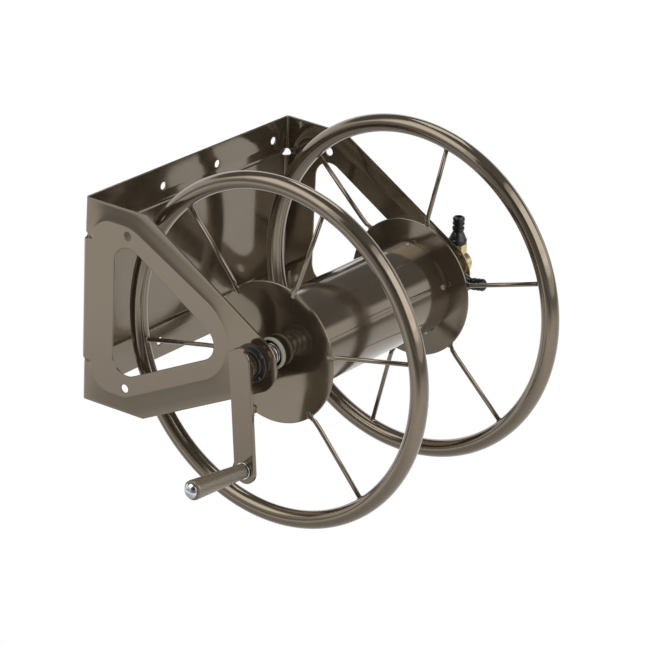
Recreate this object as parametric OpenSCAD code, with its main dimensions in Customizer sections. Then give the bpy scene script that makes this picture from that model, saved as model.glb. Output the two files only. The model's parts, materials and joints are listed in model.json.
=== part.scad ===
// Wall mounted garden hose reel: a folded steel bracket holds a hollow axle,
// and a drum between two wheels of bent tube turns on it by a side crank.
// Millimetres. X runs along the axle towards the inlet, Y towards the wall,
// Z up. The origin is the centre of the wall bolts, in the plane of the wall.

/* [Bracket] */
// outside width of the folded bracket
bracket_w = 452; // [440:1:480]
// sheet thickness of the bracket
sheet_t = 2.5; // [2:0.5:3]
// height of the side panels along the wall
bracket_h = 304; // [300:1:316]
// distance from the wall to the axle
axle_reach = 300; // [290:1:320]
// depth of the pressed centre panel
press_d = 3; // [2:0.5:4]

/* [Wheels] */
// radius of the rim's centre line
rim_r = 241.3; // [236:0.5:244]
// outside diameter of the rim tube
tube_d = 25.4; // [22:0.2:26]
// distance between the two rims' planes
rim_gap = 309.2; // [290:0.2:312]
// diameter of the spoke rod
spoke_d = 6.4; // [5:0.2:8]
// diameter of the round side discs
disc_d = 203.2; // [190:0.2:214]

/* [Drum] */
// outside diameter of the drum
drum_d = 136.6; // [128:0.2:140]
// diameter of the hollow axle
axle_d = 25.4; // [24:0.2:26]

/* [Crank] */
// distance from the axle to the grip
crank_r = 147; // [120:1:150]
// lean of the crank arm away from the wall, in degrees
crank_lean = 5.5; // [0:0.5:10]
// rise of the grip's outer end, in degrees
grip_tilt = 5; // [0:1:6]
// length of the grip
grip_len = 108; // [90:1:120]

/* [Water fittings] */
// height of a plug above the end of its elbow
plug_len = 39; // [36:1:44]
// tilt of the outlet above level, in degrees
outlet_tilt = 10; // [0:1:30]

/* [Hidden] */
// finest arc step on round parts
$fn = 72;
// small gap of a part that turns on or beside another
run_gap = 0.05;
face_gap = 0.3;
// shift used where a cut runs past a face
cut = 1;
// turn between two points of a rounded outline, in degrees
arc_step = 6;

// bracket outline, seen from the side, measured from the axle
axle_drop = 11.5;
axle_x = -20;
side_rise = 1.5;
plate_rise = 8;
side_top = bracket_h / 2 - side_rise + axle_drop;
side_bottom = side_top - bracket_h;
plate_bottom = side_bottom + plate_rise;
strip_y = axle_reach - press_d;
fold_r = 5;
fold_y = strip_y - fold_r;
shoulder_back = 112;
shoulder_y = axle_reach - shoulder_back;
shoulder_r = 6;
nose_r = 43;
half_w = bracket_w / 2;

// pressed centre panel, measured from the axle
press_slope = 5;
press_steps = 3;
press_top = 138;
press_bottom = -118;
press_fold_top = 102.5;
press_fold_bottom = -78.5;
press_upper_inset = 23;
press_lower_inset = 35;
press_ramp_back = 29;
press_ramp_y = axle_reach - press_ramp_back;
press_ramp_run = 17;
notch_d = 13;

// lightening hole of the side panels, measured from the axle
window_back = 58;
window_y = axle_reach - window_back;
window_upper_inset = 58.5;
window_lower_inset = 62;
window_corner_r = 26;

// holes
side_hole_d = 12;
side_hole_back = 81;
side_hole_y = axle_reach - side_hole_back;
side_hole_top = 124;
side_hole_bottom = -104;
wall_hole_d = 11;
wall_hole_z = 119.5;
wall_hole_inner_x = 60.7;
wall_hole_outer_x = 191.2;

// bearings
bearing_bore_r = axle_d / 2 + run_gap;
bearing_flange_r = 27;
bearing_flange_t = 3.5;
bearing_step_r = 23;
bearing_step_t = 3;
bearing_hub_r = 19;
bearing_inside_t = 5;
rivet_d = 5;
rivet_ring_r = 22.8;
rivet_ring_start = -42;

// wheels
disc_t = 3;
rim_wall = 2;
spokes = 6;
crank_spoke_turn = 18;
inlet_spoke_turn = 13;
crank_plane = -rim_gap / 2;
inlet_plane = rim_gap / 2;

// drum and hubs
drum_t = 1.5;
drum_end_gap = 0.1;
hub_sleeve_r = 18;
hub_sleeve_l = 26;
hub_web_t = 3;
hub_lip_t = 4;
hub_lip_l = 16;
hub_fit = 0.1;
drum_screws = 5;
drum_screw_d = 4;
drum_screw_head_d = 8;
drum_screw_head_t = 2;
drum_screw_in = 8;
drum_screw_turn = -108;

// axle and what is on it
axle_bore_r = 8;
arm_x = crank_out_x() - 27;
axle_end_x = inlet_out_x() + 45;
outlet_x = rim_gap / 2 + 44;
outlet_port_d = 8;

// friction spring and its rings, on the crank side
spring_wire_d = 2.5;
spring_turns = 5;
spring_sides = 6;
spring_steps = 8;
spring_r = (axle_d / 2 + spring_wire_d / 2 + 0.4) / cos(180 / spring_steps);
thrust_r = 22.8;
thrust_pocket_r = spring_r + spring_wire_d / 2 + 0.5;
thrust_t = 6;
thrust_lip_t = 1.5;
pad_r = 21;
pad_t = 3;
seat_r = 20;
seat_t = 2;

// crank
arm_w = 35;
arm_t = 7;
arm_over_axle = 29;
arm_past_grip = 20;
arm_fit = 0.1;
arm_web = 1;
arm_boss_r = 18;
arm_boss_l = 11;
crank_pin_d = 5;
grip_tip_r = 14;
grip_root_r = 10.5;
grip_bolt_r = 4;
grip_bolt_head_r = 8;
grip_bolt_head_t = 4;
grip_washer_r = 12;
grip_washer_t = 2;
grip_washer_z = 1.3;
grip_z = grip_washer_z + grip_washer_t + 0.3;
cap_r = 10.5;
cap_skirt = 2;
cap_rise = 5;
cap_pocket = 4;

// water fittings
swivel_x = inlet_out_x() + 25;
swivel_r = 17;
swivel_len = 32;
swivel_chamber_l = 12;
swivel_neck_r = 11;
neck_hex_r = 14;
plug_seat = 35;
plug_collar_r = 13;
plug_bore_r = 4.5;
plug_thread_r = 7;
plug_thread_l = 9;
outlet_reach = 61;
outlet_sleeve_r = 18;
outlet_sleeve_l = 30;
outlet_neck_r = 9;
gasket_r = 11;
gasket_t = 1.5;
ring_seal_r = 1.7;
seal_side = 11;
clip_t = 1.4;
clip_depth = 1.2;

// which sub-part to draw

// outer face of the crank side panel, on the axle's own scale
function crank_out_x() = -half_w - axle_x;
function inlet_out_x() = half_w - axle_x;

// unit vector, left normal and heading of a flat direction
function unit(v) = v / norm(v);
function left_of(v) = [-v[1], v[0]];
function heading(v) = atan2(v[1], v[0]);
function turn_between(a, b) = atan2(a[0] * b[1] - a[1] * b[0], a * b);

// where two lines meet, each given by a point and a direction
function meet(p, u, q, v) =
  p + u * (((q - p)[0] * v[1] - (q - p)[1] * v[0]) / (u[0] * v[1] - u[1] * v[0]));

// A rounded outline is a list of corners, anticlockwise, and a radius for each.
// Its frames are the points along it, each with the direction that faces out.
function before(p, i) = (i + len(p) - 1) % len(p);
function side_dir(p, i) = unit(p[(i + 1) % len(p)] - p[i]);
function corner_turn(p, i) = turn_between(side_dir(p, before(p, i)), side_dir(p, i));
function corner_frames(p, r, i) =
  let (
    a = side_dir(p, before(p, i)),
    turned = corner_turn(p, i),
    bend = sign(turned) * r,
    c = p[i] - a * (r * tan(abs(turned) / 2)) + left_of(a) * bend,
    steps = ceil(abs(turned) / arc_step)
  )
  [for (k = [0:steps])
    let (n = -left_of([cos(heading(a) + turned * k / steps), sin(heading(a) + turned * k / steps)]))
    [c + n * bend, n]];
function frames(p, r) = [
  for (i = [0:len(p) - 1])
    each r[i] > 0 ? corner_frames(p, r[i], i)
    : [[p[i], i == 0 ? -left_of(side_dir(p, 0)) : -left_of(side_dir(p, before(p, i)))]]
];

module rounded_outline(p, r, grow = 0) {
  polygon([for (f = frames(p, r)) f[0] + f[1] * grow]);
}

// a shoulder and the slope from it that just touches the nose circle
upper_shoulder = [shoulder_y, side_top];
lower_shoulder = [shoulder_y, side_bottom];
upper_slope = heading(-upper_shoulder) - asin(nose_r / norm(upper_shoulder));
lower_slope = heading(lower_shoulder) + asin(nose_r / norm(lower_shoulder));
upper_dir = [cos(upper_slope), sin(upper_slope)];
lower_dir = [cos(lower_slope), sin(lower_slope)];

// a line moved in from the outline's upper or lower slope
function upper_line(inset) = upper_shoulder + left_of(upper_dir) * inset;
function lower_line(inset) = lower_shoulder + left_of(lower_dir) * inset;
function slopes_meet(upper_inset, lower_inset) =
  meet(upper_line(upper_inset), upper_dir, lower_line(lower_inset), lower_dir);

// side panel seen along the axle, Y across and Z up
side_corners = [
  [fold_y, side_top], upper_shoulder, slopes_meet(0, 0), lower_shoulder, [fold_y, side_bottom]
];
side_radii = [0, shoulder_r, nose_r, shoulder_r, 0];

// rounded three-sided lightening hole
window_corners = [
  slopes_meet(window_upper_inset, window_lower_inset),
  meet(lower_line(window_lower_inset), lower_dir, [window_y, 0], [0, 1]),
  meet(upper_line(window_upper_inset), upper_dir, [window_y, 0], [0, 1])
];
window_radii = [window_corner_r, window_corner_r, window_corner_r];

// pressed panel: in from the fold, round the nose, and back out
press_corners = [
  [strip_y, press_fold_top],
  [press_ramp_y, press_fold_top],
  [press_ramp_y - press_ramp_run, press_top],
  meet([0, press_top], [1, 0], upper_line(press_upper_inset), upper_dir),
  slopes_meet(press_upper_inset, press_lower_inset),
  meet([0, press_bottom], [1, 0], lower_line(press_lower_inset), lower_dir),
  [press_ramp_y - press_ramp_run, press_bottom],
  [press_ramp_y, press_fold_bottom],
  [strip_y, press_fold_bottom]
];
press_radii = [0, 12, 12, 24, 64, 24, 12, 12, 0];

// the sheet round the pressed panel, its slope drawn as steps that lap each other
module press_slopes() {
  lap = 1;
  step_w = press_slope / (press_steps - 1);
  for (k = [1:press_steps - 1])
    translate([0, 0, press_d * k / press_steps])
      linear_extrude(sheet_t)
        difference() {
          rounded_outline(press_corners, press_radii, press_slope - step_w * (k - 1));
          rounded_outline(press_corners, press_radii, press_slope - step_w * k - lap);
        }
}

// one side panel, lying with its outer side up and the axle at its origin
module side_panel() {
  difference() {
    union() {
      linear_extrude(sheet_t)
        difference() {
          rounded_outline(side_corners, side_radii);
          rounded_outline(press_corners, press_radii, press_slope - 1);
        }
      intersection() {
        union() {
          translate([0, 0, press_d])
            linear_extrude(sheet_t)
              rounded_outline(press_corners, press_radii);
          press_slopes();
        }
        translate([-nose_r, side_bottom, -cut])
          cube([nose_r + fold_y, bracket_h, press_d + sheet_t + 2 * cut]);
      }
    }
    translate([0, 0, -cut])
      linear_extrude(press_d + sheet_t + 2 * cut) {
        rounded_outline(window_corners, window_radii);
        circle(bearing_hub_r + hub_fit);
        translate([side_hole_y, side_hole_top]) circle(side_hole_d / 2);
        translate([side_hole_y, side_hole_bottom]) circle(side_hole_d / 2);
        rivet_places() circle(rivet_d / 2);
      }
  }
}

// the four rivets round a bearing
module rivet_places() {
  for (i = [0:3])
    rotate(rivet_ring_start + 90 * i)
      translate([rivet_ring_r, 0]) children();
}

// quarter-round fold between a side panel and the back, and back in plan
module fold_plan(out) {
  r = fold_r;
  for (side = [-1, 1])
    translate([side * (half_w + out - r), -press_d + out - r])
      intersection() {
        difference() {
          circle(r);
          circle(r - sheet_t);
        }
        translate([side > 0 ? 0 : -r, 0]) square(r);
      }
}

// back plate seen from the side: strips, sloped creases and centre panel
module back_section() {
  strip = axle_reach - press_d;
  top = press_fold_top;
  bottom = press_fold_bottom;
  polygon([
    [strip, side_top], [strip, top + press_slope], [axle_reach, top],
    [axle_reach, bottom], [strip, bottom - press_slope], [strip, plate_bottom],
    [strip - sheet_t, plate_bottom], [strip - sheet_t, bottom - press_slope],
    [axle_reach - sheet_t, bottom], [axle_reach - sheet_t, top],
    [strip - sheet_t, top + press_slope], [strip - sheet_t, side_top]
  ]);
}

// The bracket is one folded sheet. Its solid is in three nodes that meet where
// the folds begin, so that collision is open where the bracket is open.

// relief notches where the creases cross the folds
module fold_notches() {
  for (side = [-1, 1])
    for (z = [press_fold_top + press_slope / 2, press_fold_bottom - press_slope / 2])
      translate([side * (half_w + press_d), 0, z - axle_drop])
        rotate([90, 0, -side * 45])
          cylinder(d = notch_d, h = 4 * fold_r, center = true);
}

module wall_holes() {
  for (x = [-wall_hole_outer_x, -wall_hole_inner_x, wall_hole_inner_x, wall_hole_outer_x])
    for (z = [-wall_hole_z, wall_hole_z])
      translate([x, cut, z])
        rotate([90, 0, 0]) cylinder(d = wall_hole_d, h = press_d + sheet_t + 2 * cut);
}

module back_plate() {
  color("#6f6455")
  difference() {
    union() {
      translate([-half_w + fold_r, -axle_reach, -axle_drop])
        rotate([90, 0, 90])
          linear_extrude(bracket_w - 2 * fold_r) back_section();
      // the folds, with the middle ones pressed out
      for (z = [
        [side_bottom, press_fold_bottom - press_slope, 0],
        [press_fold_bottom, press_fold_top, press_d],
        [press_fold_top + press_slope, side_top, 0]
      ])
        translate([0, 0, z[0] - axle_drop])
          linear_extrude(z[1] - z[0]) {
            fold_plan(z[2]);
            fold_webs(z[2]);
          }
    }
    fold_notches();
    wall_holes();
  }
}

module bracket_side(side) {
  color("#6f6455")
  difference() {
    translate([side * (half_w - sheet_t), -axle_reach, -axle_drop])
      mirror([side > 0 ? 0 : 1, 0, 0])
        rotate([90, 0, 90]) side_panel();
    fold_notches();
  }
}

module crank_side_panel() {
  bracket_side(-1);
}

module inlet_side_panel() {
  bracket_side(1);
}

// short straight webs that join the pressed fold to its panels
module fold_webs(out) {
  if (out > 0)
    for (side = [-1, 1]) {
      translate([side * (half_w + out - sheet_t / 2) - sheet_t / 2, fold_y - axle_reach])
        square([sheet_t, out]);
      translate([side > 0 ? half_w - fold_r - cut : -half_w + fold_r - out, -sheet_t])
        square([out + cut, sheet_t]);
    }
}

// places children on the axle, their Z along it and their X hanging down
module on_axle(x = 0) {
  translate([axle_x + x, -axle_reach, -axle_drop]) rotate([0, 90, 0]) children();
}

// a ring turned about Z
module ring(outer, inner, height) {
  rotate_extrude() translate([inner, 0]) square([outer - inner, height]);
}

// flanged bush seen with its flange up, panel between the two flanges
module bearing() {
  difference() {
    rotate_extrude()
      polygon([
        [bearing_bore_r, -bearing_inside_t], [bearing_hub_r, -bearing_inside_t],
        [bearing_hub_r, sheet_t], [bearing_flange_r, sheet_t],
        [bearing_flange_r, sheet_t + bearing_flange_t - 1],
        [bearing_flange_r - 1, sheet_t + bearing_flange_t],
        [bearing_step_r - 4, sheet_t + bearing_flange_t],
        [bearing_step_r - 4, sheet_t + bearing_flange_t + bearing_step_t],
        [bearing_bore_r, sheet_t + bearing_flange_t + bearing_step_t]
      ]);
    rivet_places() cylinder(d = rivet_d, h = 4 * bearing_flange_t, center = true);
  }
}

// puts a child on a side panel, as drawn with its outer side up
module on_panel(side) {
  translate([side * (half_w - sheet_t), -axle_reach, -axle_drop])
    mirror([side > 0 ? 0 : 1, 0, 0])
      rotate([90, 0, 90]) children();
}

module crank_side_bearing() {
  color("#3a342d") on_panel(-1) bearing();
}

module inlet_side_bearing() {
  color("#3a342d") on_panel(1) bearing();
}

module bearing_rivets() {
  head_r = 3.6;
  head_t = 1.6;
  color("#a8a39a")
    for (side = [-1, 1])
      on_panel(side)
        rivet_places() {
          translate([0, 0, -head_t])
            cylinder(r = head_r, h = head_t);
          cylinder(r = rivet_d / 2 - run_gap, h = sheet_t + bearing_flange_t);
          translate([0, 0, sheet_t + bearing_flange_t])
            cylinder(r1 = head_r, r2 = head_r - 1, h = head_t);
        }
}

// where the friction pieces sit, from the disc out to the panel
pad_x = crank_plane - disc_t / 2 - pad_t;
thrust_x = pad_x - 0.2 - thrust_t;
seat_x = crank_out_x() + sheet_t + bearing_inside_t + 0.1;
spring_from = seat_x + seat_t;
spring_len = thrust_x - spring_from;

module friction_pad() {
  color("#1c1b1a") on_axle(pad_x) ring(pad_r, axle_d / 2 + face_gap, pad_t);
}

module thrust_ring() {
  color("#cdc6a8")
    on_axle(thrust_x)
      rotate_extrude()
        polygon([
          [axle_d / 2 + face_gap, thrust_t], [axle_d / 2 + face_gap, thrust_t - thrust_lip_t],
          [thrust_pocket_r, thrust_t - thrust_lip_t], [thrust_pocket_r, 0],
          [thrust_r - 1, 0], [thrust_r, 1], [thrust_r, thrust_t - 1],
          [thrust_r - 1, thrust_t]
        ]);
}

module spring_seat() {
  color("#9a9892") on_axle(seat_x) ring(seat_r, axle_d / 2 + face_gap, seat_t);
}

// centre line of the spring, with a nearly flat turn at each end
spring_floor = spring_wire_d / 2;
spring_roof = spring_len + thrust_t - thrust_lip_t - spring_wire_d / 2;
spring_rings = spring_turns * spring_steps;
spring_pitch_gap = 0.6;
dead_rise = spring_wire_d + spring_pitch_gap;
function spring_rise(t) =
  t <= 1 ? dead_rise * t
  : t >= spring_turns - 1 ? spring_roof - spring_floor - dead_rise * (spring_turns - t)
  : dead_rise + (spring_roof - spring_floor - 2 * dead_rise) * (t - 1) / (spring_turns - 2);
function spring_point(i) =
  let (t = i / spring_steps, a = 360 * t)
  [spring_r * cos(a), spring_r * sin(a), spring_floor + spring_rise(t)];
function spring_ring(i) =
  let (c = spring_point(i), a = 360 * i / spring_steps)
  [for (k = [0:spring_sides - 1])
    let (b = 360 * k / spring_sides)
    c + spring_wire_d / 2 * (cos(b) * [cos(a), sin(a), 0] + sin(b) * [0, 0, 1])];

spring_gap = min([
  for (i = [0:spring_rings], j = [i + spring_steps - 1:spring_rings])
    if (j - i < 2 * spring_steps)
      norm(spring_point(i) - spring_point(j))
]) - spring_wire_d;
echo(spring_least_gap_mm = spring_gap);

module tension_spring() {
  n = spring_sides;
  last = spring_rings;
  color("#b9b8b4")
    on_axle(spring_from)
      polyhedron(
        points = [for (i = [0:last]) each spring_ring(i)],
        faces = concat(
          [for (k = [1:n - 2]) [0, k, k + 1]],
          [for (k = [1:n - 2]) [last * n, last * n + k + 1, last * n + k]],
          [for (i = [0:last - 1], k = [0:n - 1])
            [i * n + k, (i + 1) * n + k, i * n + (k + 1) % n]],
          [for (i = [0:last - 1], k = [0:n - 1])
            [i * n + (k + 1) % n, (i + 1) * n + k, (i + 1) * n + (k + 1) % n]]
        )
      );
}

// hollow axle: closed at the crank, open to the outlet and the swivel
module axle() {
  from = arm_x + arm_web + arm_fit;
  len = axle_end_x - from;
  color("#8f8b84")
    difference() {
      on_axle(from)
        rotate_extrude()
          polygon([
            [0, 0], [axle_d / 2 - 1, 0], [axle_d / 2, 1],
            [axle_d / 2, len - 1], [axle_d / 2 - 1, len], [0, len]
          ]);
      on_axle(outlet_x - outlet_sleeve_l / 2)
        cylinder(r = axle_bore_r, h = axle_end_x);
      at_outlet() cylinder(d = outlet_port_d, h = axle_d);
      on_axle(swivel_x)
        rotate([0, 90, 0]) cylinder(d = outlet_port_d, h = 2 * axle_d, center = true);
      on_axle(clip_x - run_gap)
        ring(axle_d, axle_d / 2 - clip_depth, clip_t + 2 * run_gap);
      for (x = seal_places) on_axle(x) seal_groove();
      at_crank_pin() cylinder(d = crank_pin_d + 2 * run_gap, h = 2 * axle_d, center = true);
    }
}

// where the rubber rings and the clip sit along the axle
clip_x = swivel_x + swivel_len / 2 + face_gap;
seal_places = [
  swivel_x - seal_side, swivel_x + seal_side,
  outlet_x - seal_side, outlet_x + seal_side
];

// places children at the outlet, their Z along its spout
module at_outlet() {
  on_axle(outlet_x)
    rotate([0, 0, -90 - outlet_tilt]) rotate([0, 90, 0]) children();
}

// places children at the inlet swivel, their Z along its upright spout
module at_inlet() {
  on_axle(swivel_x) rotate([0, -90, 0]) children();
}

// places children across the crank arm's boss, their Z along the pin
module at_crank_pin() {
  on_axle(arm_x + arm_t + arm_boss_l / 2)
    rotate([0, 0, -crank_lean]) rotate([0, 90, 0]) children();
}

module seal_groove() {
  rotate_extrude()
    translate([axle_d / 2 - 2 * ring_seal_r + 0.2, -ring_seal_r - 0.1])
      square([3 * ring_seal_r, 2 * ring_seal_r + 0.2]);
}

// rubber ring, a little inside the surface that it seals
module seal_ring() {
  rotate_extrude()
    translate([axle_d / 2 - ring_seal_r + 0.1, 0]) circle(ring_seal_r - 0.15, $fn = 24);
}

// stopper in the open end of the axle
module axle_plug() {
  len = 8;
  color("#8f8b84")
    on_axle(axle_end_x - len)
      rotate_extrude()
        polygon([
          [0, 0], [axle_bore_r - hub_fit, 0], [axle_bore_r - hub_fit, len],
          [axle_bore_r + 2, len], [axle_bore_r + 2, len + 2], [axle_bore_r + 1, len + 3],
          [0, len + 3]
        ]);
}

// hub inside one end of the drum, drawn with its disc face at zero
module hub() {
  difference() {
    rotate_extrude()
      polygon([
        [axle_d / 2 + hub_fit, 0], [drum_d / 2 - drum_t - hub_fit, 0],
        [drum_d / 2 - drum_t - hub_fit, hub_lip_l],
        [drum_d / 2 - drum_t - hub_lip_t, hub_lip_l],
        [drum_d / 2 - drum_t - hub_lip_t, hub_web_t], [hub_sleeve_r, hub_web_t],
        [hub_sleeve_r, hub_sleeve_l], [axle_d / 2 + hub_fit, hub_sleeve_l]
      ]);
    screw_places() screw_hole(drum_screw_d);
  }
}

// a radial hole through the hub's lip and the drum's skin
module screw_hole(d) {
  translate([0, 0, drum_d / 2 - drum_t - hub_lip_t - cut])
    cylinder(d = d, h = drum_t + hub_lip_t + 2 * cut);
}

// the radial screws, their Z pointing out
module screw_places() {
  for (i = [0:drum_screws - 1])
    rotate([0, 0, drum_screw_turn + 360 * i / drum_screws])
      translate([0, 0, drum_screw_in]) rotate([0, 90, 0]) children();
}

module crank_side_hub() {
  color("#5b554c") on_axle(crank_plane + disc_t / 2) hub();
}

module inlet_side_hub() {
  color("#5b554c")
    on_axle(inlet_plane - disc_t / 2) mirror([0, 0, 1]) hub();
}

module drum_shell() {
  half = rim_gap / 2 - disc_t / 2 - drum_end_gap;
  color("#6f6455")
    difference() {
      on_axle(-half) ring(drum_d / 2, drum_d / 2 - drum_t, 2 * half);
      on_axle(crank_plane + disc_t / 2)
        screw_places() screw_hole(drum_screw_d + 0.4);
      on_axle(inlet_plane - disc_t / 2) mirror([0, 0, 1])
        screw_places() screw_hole(drum_screw_d + 0.4);
    }
}

module drum_screws() {
  color("#b9b8b4") {
    on_axle(crank_plane + disc_t / 2) screw_places() drum_screw();
    on_axle(inlet_plane - disc_t / 2) mirror([0, 0, 1]) screw_places() drum_screw();
  }
}

module drum_screw() {
  root = drum_d / 2 - drum_t - hub_lip_t;
  seat = drum_d / 2 + 0.1;
  difference() {
    union() {
      translate([0, 0, root]) cylinder(r = drum_screw_d / 2 - run_gap, h = seat - root);
      translate([0, 0, seat])
        cylinder(d1 = drum_screw_head_d, d2 = drum_screw_head_d - 2, h = drum_screw_head_t);
    }
    for (a = [0, 90])
      rotate([0, 0, a])
        translate([-drum_screw_d / 2, -0.5, seat + drum_screw_head_t / 2])
          cube([drum_screw_d, 1, drum_screw_head_t]);
  }
}

// side disc with its rolled edge, centred on its own plane
module side_disc() {
  edge = 3;
  rotate_extrude()
    polygon([
      [axle_d / 2 + hub_fit, -disc_t / 2], [disc_d / 2 - edge, -disc_t / 2],
      [disc_d / 2, -disc_t / 2 + 1], [disc_d / 2, disc_t / 2 - 1],
      [disc_d / 2 - edge, disc_t / 2], [axle_d / 2 + hub_fit, disc_t / 2]
    ]);
}

module crank_side_disc() {
  color("#6f6455") on_axle(crank_plane) side_disc();
}

module inlet_side_disc() {
  color("#6f6455") on_axle(inlet_plane) side_disc();
}

// bent tube, closed by its weld
module rim() {
  rotate_extrude()
    translate([rim_r, 0])
      difference() {
        circle(tube_d / 2, $fn = 48);
        circle(tube_d / 2 - rim_wall, $fn = 48);
      }
}

module crank_side_rim() {
  color("#6f6455") on_axle(crank_plane) rim();
}

module inlet_side_rim() {
  color("#6f6455") on_axle(inlet_plane) rim();
}

// round rod from the disc to the rim, its inner end flattened onto the disc
module spoke(plane, turn, side) {
  from = disc_d / 2 + run_gap;
  tab_lap = 11;
  tab_w = 8;
  tab_t = spoke_d / 2 - disc_t / 2;
  color("#6f6455")
    on_axle(plane)
      rotate([0, 0, turn])
        difference() {
          union() {
            translate([from, 0, 0]) rotate([0, 90, 0])
              cylinder(d = spoke_d, h = rim_r - from, $fn = 36);
            translate([from - tab_lap, -tab_w / 2, side > 0 ? disc_t / 2 : -spoke_d / 2])
              cube([tab_lap + spoke_d / 2, tab_w, tab_t]);
          }
          rotate([0, 0, -90])
            rotate_extrude(angle = 180)
              translate([rim_r, 0]) circle(tube_d / 2 + run_gap, $fn = 48);
        }
}

module crank_spoke(i) {
  spoke(crank_plane, crank_spoke_turn + i * 360 / spokes, -1);
}

module inlet_spoke(i) {
  spoke(inlet_plane, inlet_spoke_turn + i * 360 / spokes, 1);
}

// places children on the crank arm's outer side, their X along the arm
module on_arm() {
  on_axle(arm_x) rotate([0, 0, -crank_lean]) children();
}

// places children at the grip, their Z pointing out along it
module on_grip() {
  on_arm() translate([crank_r, 0, 0]) rotate([0, 180 + grip_tilt, 0]) children();
}

// flat bar with rounded ends, and a boss welded on behind for the axle
module crank_arm() {
  eye = arm_w / 2;
  first = eye - arm_over_axle;
  last = crank_r + arm_past_grip - eye;
  color("#6f6455")
    difference() {
      on_arm() {
        linear_extrude(arm_t) {
          translate([first, 0]) circle(eye);
          translate([last, 0]) circle(eye);
          translate([first, -eye]) square([last - first, arm_w]);
        }
        translate([0, 0, arm_t - arm_web])
          cylinder(r = arm_boss_r, h = arm_boss_l + arm_web);
      }
      on_arm()
        translate([0, 0, arm_web])
          cylinder(r = axle_d / 2 + arm_fit, h = arm_t + arm_boss_l);
      on_grip()
        cylinder(r = grip_bolt_r + run_gap, h = 4 * arm_t, center = true);
      at_crank_pin()
        cylinder(d = crank_pin_d + 2 * run_gap, h = 3 * axle_d, center = true);
    }
}

// pin through the arm's boss and the axle
module crank_pin() {
  color("#9a9892")
    at_crank_pin() cylinder(d = crank_pin_d, h = 2 * arm_boss_r - 1, center = true);
}

// pivot of the grip, with its head behind the arm
module grip_bolt() {
  head_z = -(arm_t + grip_bolt_head_r * sin(grip_tilt)) / cos(grip_tilt);
  end_z = grip_z + grip_len + face_gap + cap_pocket - 0.2;
  color("#b9b8b4")
    on_grip() {
      translate([0, 0, head_z - grip_bolt_head_t])
        cylinder(r1 = grip_bolt_head_r - 1, r2 = grip_bolt_head_r, h = grip_bolt_head_t);
      translate([0, 0, head_z - cut]) cylinder(r = grip_bolt_r, h = end_z - head_z + cut);
    }
}

module grip_washer() {
  color("#cfcfcf")
    on_grip()
      translate([0, 0, grip_washer_z])
        ring(grip_washer_r, grip_bolt_r + run_gap, grip_washer_t);
}

// turned grip, slim at the arm and full at the tip
module grip() {
  bore_r = grip_bolt_r + 2 * run_gap - 0.02;
  edge = 3;
  tip_edge = 5;
  color("#6f6455")
    on_grip()
      translate([0, 0, grip_z])
        difference() {
          rotate_extrude()
            union() {
              polygon([
                [0, 0], [grip_root_r - edge, 0], [grip_root_r, edge],
                [grip_tip_r, grip_len - tip_edge], [grip_tip_r - tip_edge, grip_len],
                [0, grip_len]
              ]);
              translate([grip_root_r - edge, edge]) circle(edge);
              translate([grip_tip_r - tip_edge, grip_len - tip_edge]) circle(tip_edge);
            }
          translate([0, 0, -cut]) cylinder(r = bore_r, h = grip_len + 2 * cut);
        }
}

// domed cap pressed on the bolt's end
module grip_cap() {
  dome_r = (cap_r * cap_r + cap_rise * cap_rise) / (2 * cap_rise);
  color("#cfcfcf")
    on_grip()
      translate([0, 0, grip_z + grip_len + face_gap])
        difference() {
          union() {
            cylinder(r = cap_r, h = cap_skirt);
            rotate_extrude()
              intersection() {
                translate([0, cap_skirt + cap_rise - dome_r]) circle(dome_r);
                translate([0, cap_skirt]) square([cap_r, cap_rise + cut]);
              }
          }
          translate([0, 0, -cut]) cylinder(r = grip_bolt_r + run_gap, h = cap_pocket + cut);
        }
}

// hexagon and throat that a plug screws into, its top at top
module plug_socket(top, neck_r, hex_l) {
  translate([0, 0, top - hex_l]) cylinder(r = neck_hex_r, h = hex_l, $fn = 6);
  cylinder(r = neck_r, h = top - hex_l + cut);
}

module plug_throat(top) {
  translate([0, 0, top - plug_thread_l - cut])
    cylinder(r = plug_thread_r + 2 * run_gap, h = plug_thread_l + 2 * cut);
  cylinder(r = plug_bore_r, h = top);
}

// brass body that turns on the axle's end and carries the inlet
module swivel_body() {
  bevel = 2;
  top = plug_seat - gasket_t;
  color("#b8923e")
    difference() {
      union() {
        on_axle(swivel_x - swivel_len / 2)
          rotate_extrude()
            polygon([
              [0, 0], [swivel_r - bevel, 0], [swivel_r, bevel],
              [swivel_r, swivel_len - bevel], [swivel_r - bevel, swivel_len],
              [0, swivel_len]
            ]);
        at_inlet() plug_socket(top, swivel_neck_r, 14);
      }
      at_inlet() plug_throat(top);
      on_axle(swivel_x - swivel_len / 2 - cut)
        cylinder(r = axle_d / 2 + run_gap, h = swivel_len + 2 * cut);
      on_axle(swivel_x - swivel_chamber_l / 2)
        cylinder(r = axle_d / 2 + 1.5, h = swivel_chamber_l);
    }
}

module swivel_seals() {
  color("#1c1b1a") for (i = [0, 1]) on_axle(seal_places[i]) seal_ring();
}

module outlet_seals() {
  color("#1c1b1a") for (i = [2, 3]) on_axle(seal_places[i]) seal_ring();
}

// open ring that keeps the swivel on the axle
module swivel_clip() {
  clip_r = axle_d / 2 + 2.5;
  gap = 8;
  color("#9a9892")
    on_axle(clip_x)
      difference() {
        ring(clip_r, axle_d / 2 - clip_depth + run_gap, clip_t);
        translate([0, -gap / 2, -cut]) cube([2 * clip_r, gap, clip_t + 2 * cut]);
      }
}

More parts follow.
